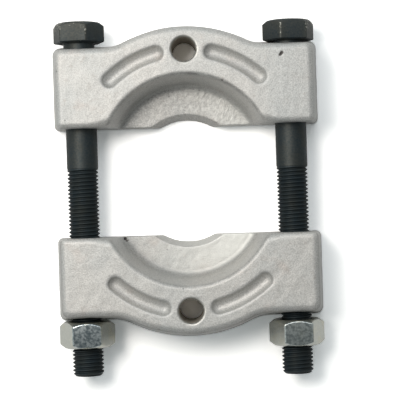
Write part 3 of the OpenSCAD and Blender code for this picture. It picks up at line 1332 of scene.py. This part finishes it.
@dataclass
class Studio:
    """Pale floor, soft light from the upper left and a camera that looks straight down, in metres."""

    camera_place: tuple[float, float, float] = (0.0046, -0.0009, 0.600)
    roll: float = math.radians(-1.75)
    lens_px: float = 1499.0
    picture_px: float = 400.0
    sensor_mm: float = 36.0
    clip_start: float = 0.01
    floor_colour: str = "#d8d8d8"
    floor_half: float = 2.0
    floor_drop: float = 2e-5
    floor_gain: float = 1.6
    mirror_gain: float = 0.75
    sky_tones: tuple[tuple[float, str], ...] = ((0.0, "#cfd6d7"), (0.5, "#c2c8c9"), (0.97, "#8d9292"))
    sky_bright_way: tuple[float, float, float] = (-0.55, 0.83, 0.0)
    sky_range: tuple[float, float] = (0.32, 1.45)

    def floor(self) -> None:
        """Lays the floor: it keeps the shadow and turns white where the light reaches it."""
        mesh = bpy.data.meshes.new("floor")
        square = [(-1, -1), (1, -1), (1, 1), (-1, 1)]
        places = [(x * self.floor_half, y * self.floor_half, -self.floor_drop) for x, y in square]
        mesh.from_pydata(places, [], [(0, 1, 2, 3)])
        made = in_scene("floor", mesh)
        finish = bpy.data.materials.new("pale_paper_floor")
        finish.use_nodes = True
        tree = finish.node_tree
        tree.nodes.clear()
        ray = add(tree, "ShaderNodeLightPath").outputs
        both = {0: ray["Is Glossy Ray"], 1: ray["Is Transmission Ray"]}
        mirrored = add(tree, "ShaderNodeMath", both, operation="ADD")
        tone = linear(self.floor_colour)
        for share, gain in ((mirrored, self.mirror_gain), (ray["Is Camera Ray"], self.floor_gain)):
            layers = {"Factor": share, "A": tone, "B": grey(gain)}
            tone = add(tree, "ShaderNodeMix", layers, data_type="RGBA")
        paper = add(tree, "ShaderNodeBsdfDiffuse", {"Color": tone})
        add(tree, "ShaderNodeOutputMaterial", {"Surface": paper})
        mesh.materials.append(finish)

    def lamps(self) -> None:
        """Hangs a soft box at the upper left and a weak one at the top."""
        for name, place, size, power, colour in (
            ("soft_box", (-0.185, 0.125, 0.46), 0.20, 1.50, "#fffaf4"),
            ("top_fill", (0.06, 0.27, 0.45), 0.30, 0.50, "#fdfdff"),
        ):
            lamp = bpy.data.lights.new(name, "AREA")
            lamp.size = size
            lamp.energy = power
            lamp.color = linear(colour)[:3]
            made = in_scene(name, lamp)
            made.location = place
            made.visible_camera = False
            made.rotation_euler = Vector(place).to_track_quat("Z", "Y").to_euler()

    def sky(self) -> None:
        """Surrounds the scene with light that dims overhead and to one side."""
        world = bpy.data.worlds.new("studio")
        bpy.context.scene.world = world
        world.use_nodes = True
        tree = world.node_tree
        tree.nodes.clear()
        way = add(tree, "ShaderNodeTexCoord").outputs["Generated"]
        up = add(tree, "ShaderNodeSeparateXYZ", {0: way}).outputs["Z"]
        tones = [(place, linear(tone)) for place, tone in self.sky_tones]
        dome = add(tree, "ShaderNodeValToRGB", {"Fac": up}, tones)
        seen = add(tree, "ShaderNodeLightPath").outputs["Is Camera Ray"]
        layers = {"Factor": seen, "A": dome, "B": grey(1.0)}
        colour = add(tree, "ShaderNodeMix", layers, data_type="RGBA")
        ways = {0: way, 1: self.sky_bright_way}
        lean = add(tree, "ShaderNodeVectorMath", ways, operation="DOT_PRODUCT")
        dim, full = self.sky_range
        links = {"Value": lean, "From Min": -1.0, "To Min": dim, "To Max": full}
        strength = add(tree, "ShaderNodeMapRange", links)
        light = add(tree, "ShaderNodeBackground", {"Color": colour, "Strength": strength})
        add(tree, "ShaderNodeOutputWorld", {"Surface": light})

    def camera(self) -> None:
        """Stands the camera over the object, rolled as the object lies in the picture."""
        lens = bpy.data.cameras.new("camera")
        lens.sensor_fit = "HORIZONTAL"
        lens.sensor_width = self.sensor_mm
        lens.lens = self.lens_px / self.picture_px * lens.sensor_width
        lens.clip_start = self.clip_start
        made = in_scene("camera", lens)
        made.location = self.camera_place
        made.rotation_euler = (0, 0, self.roll)
        bpy.context.scene.camera = made

    def build(self) -> None:
        """Sets the whole studio up."""
        self.floor()
        self.lamps()
        self.sky()
        self.camera()
        bpy.context.scene.view_settings.view_transform = "Standard"


def corners(bounds: tuple) -> list[list[float]]:
    """The two corners of a box as plain lists of numbers."""
    return [[float(v) for v in corner] for corner in bounds]


def main() -> None:
    """Builds every piece in order and notes the size of the result."""
    logging.basicConfig(level=logging.INFO, format="%(message)s")
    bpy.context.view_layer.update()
    layout = Layout()
    dull = JawWearAndPaintedLight(rim_grime=0.55, web_grit=0.55, web_scour=0.08, scour_and_glint_patch=0.22, wedge_scour=0.0)
    # the lower jaw has the stronger painted shade along its outer edge
    bright = JawWearAndPaintedLight(edge_painted_shade=0.4)
    upper_pits = [(37.6, 26.4, 25.2, 0.66), (37.1, 25.75, 25.2, 0.54)]
    lower_pits = [(25.4, 0.9, 8.2, 0.6), (24.6, 1.6, 8.2, 0.45)]
    jaws = [
        Jaw(layout, Half.UPPER, dull, pits=upper_pits),
        Jaw(layout, Half.LOWER, bright, pits=lower_pits),
    ]
    head_flats, nut_flats = layout.head_flats, layout.nut_flats
    bolts = [
        HexBolt(layout, Side.LEFT, head_flats, 19.1, rubbed_flats={5: 0.82, 4: 0.98, 0: 0.45}),
        HexBolt(layout, Side.RIGHT, head_flats, -19.4, rubbed_flats={0: 0.55, 5: 0.58, 1: 0.95}),
    ]
    nuts = [
        HexNut(layout, Side.LEFT, nut_flats, -27.8),
        HexNut(layout, Side.RIGHT, nut_flats, -28.5, spangle=0.6),
    ]
    for finish, parts in (
        (BlastedCastSteel(), jaws),
        (BlackOxideSteel(), bolts),
        (BrightZinc(), nuts),
    ):
        material = finish.material()
        for part in parts:
            piece = part.build(material)
            LOG.info("%s: %d faces", piece.name, len(piece.data.polygons))
    Studio().build()


if __name__ == "__main__":
    main()
